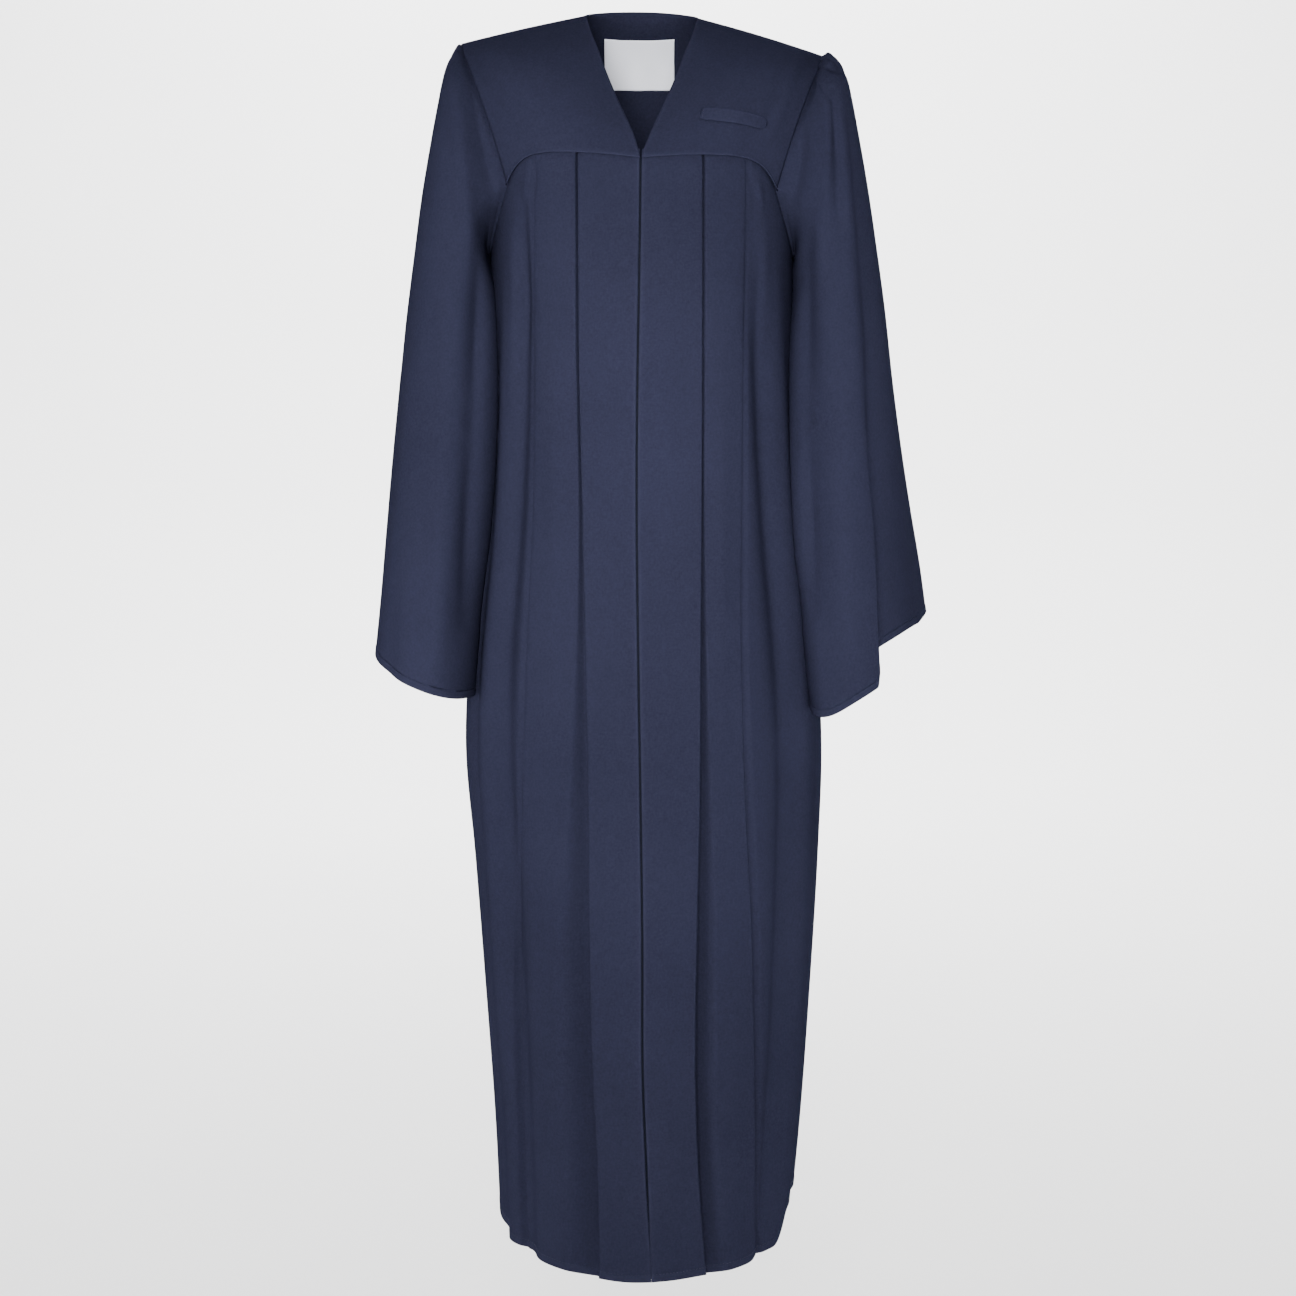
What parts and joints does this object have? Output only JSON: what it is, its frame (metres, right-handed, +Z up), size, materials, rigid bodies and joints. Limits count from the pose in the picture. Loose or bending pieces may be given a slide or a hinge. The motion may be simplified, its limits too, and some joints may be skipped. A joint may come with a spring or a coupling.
{
  "type": "graduation gown",
  "caption": "Long graduation gown with a smooth V-neck yoke, pleated fronts and back, and wide open sleeves, filled out as worn.",
  "frame": {"origin": "midway between the two shoulder points, where the wearer's shoulders carry the gown", "axes": "+Z up, -Y out of the front of the gown, +X towards the wearer's left"},
  "size_m": [0.6014, 0.3867, 1.3132],
  "materials": {
    "gown_cloth": "matt navy polyester twill with a faint sheen",
    "zip_tape": "dark navy woven tape",
    "label": "plain pale woven satin"
  },
  "bodies": {
    "root": {"front_yoke_left": "gown_cloth", "front_yoke_right": "gown_cloth", "back_yoke": "gown_cloth", "front_panel_left": "gown_cloth", "front_panel_right": "gown_cloth", "back_panel": "gown_cloth", "sleeve_left": "gown_cloth", "sleeve_right": "gown_cloth", "chest_loop": "gown_cloth", "zip_tape": "zip_tape", "neck_label": "label"}
  },
  "joints": []
}
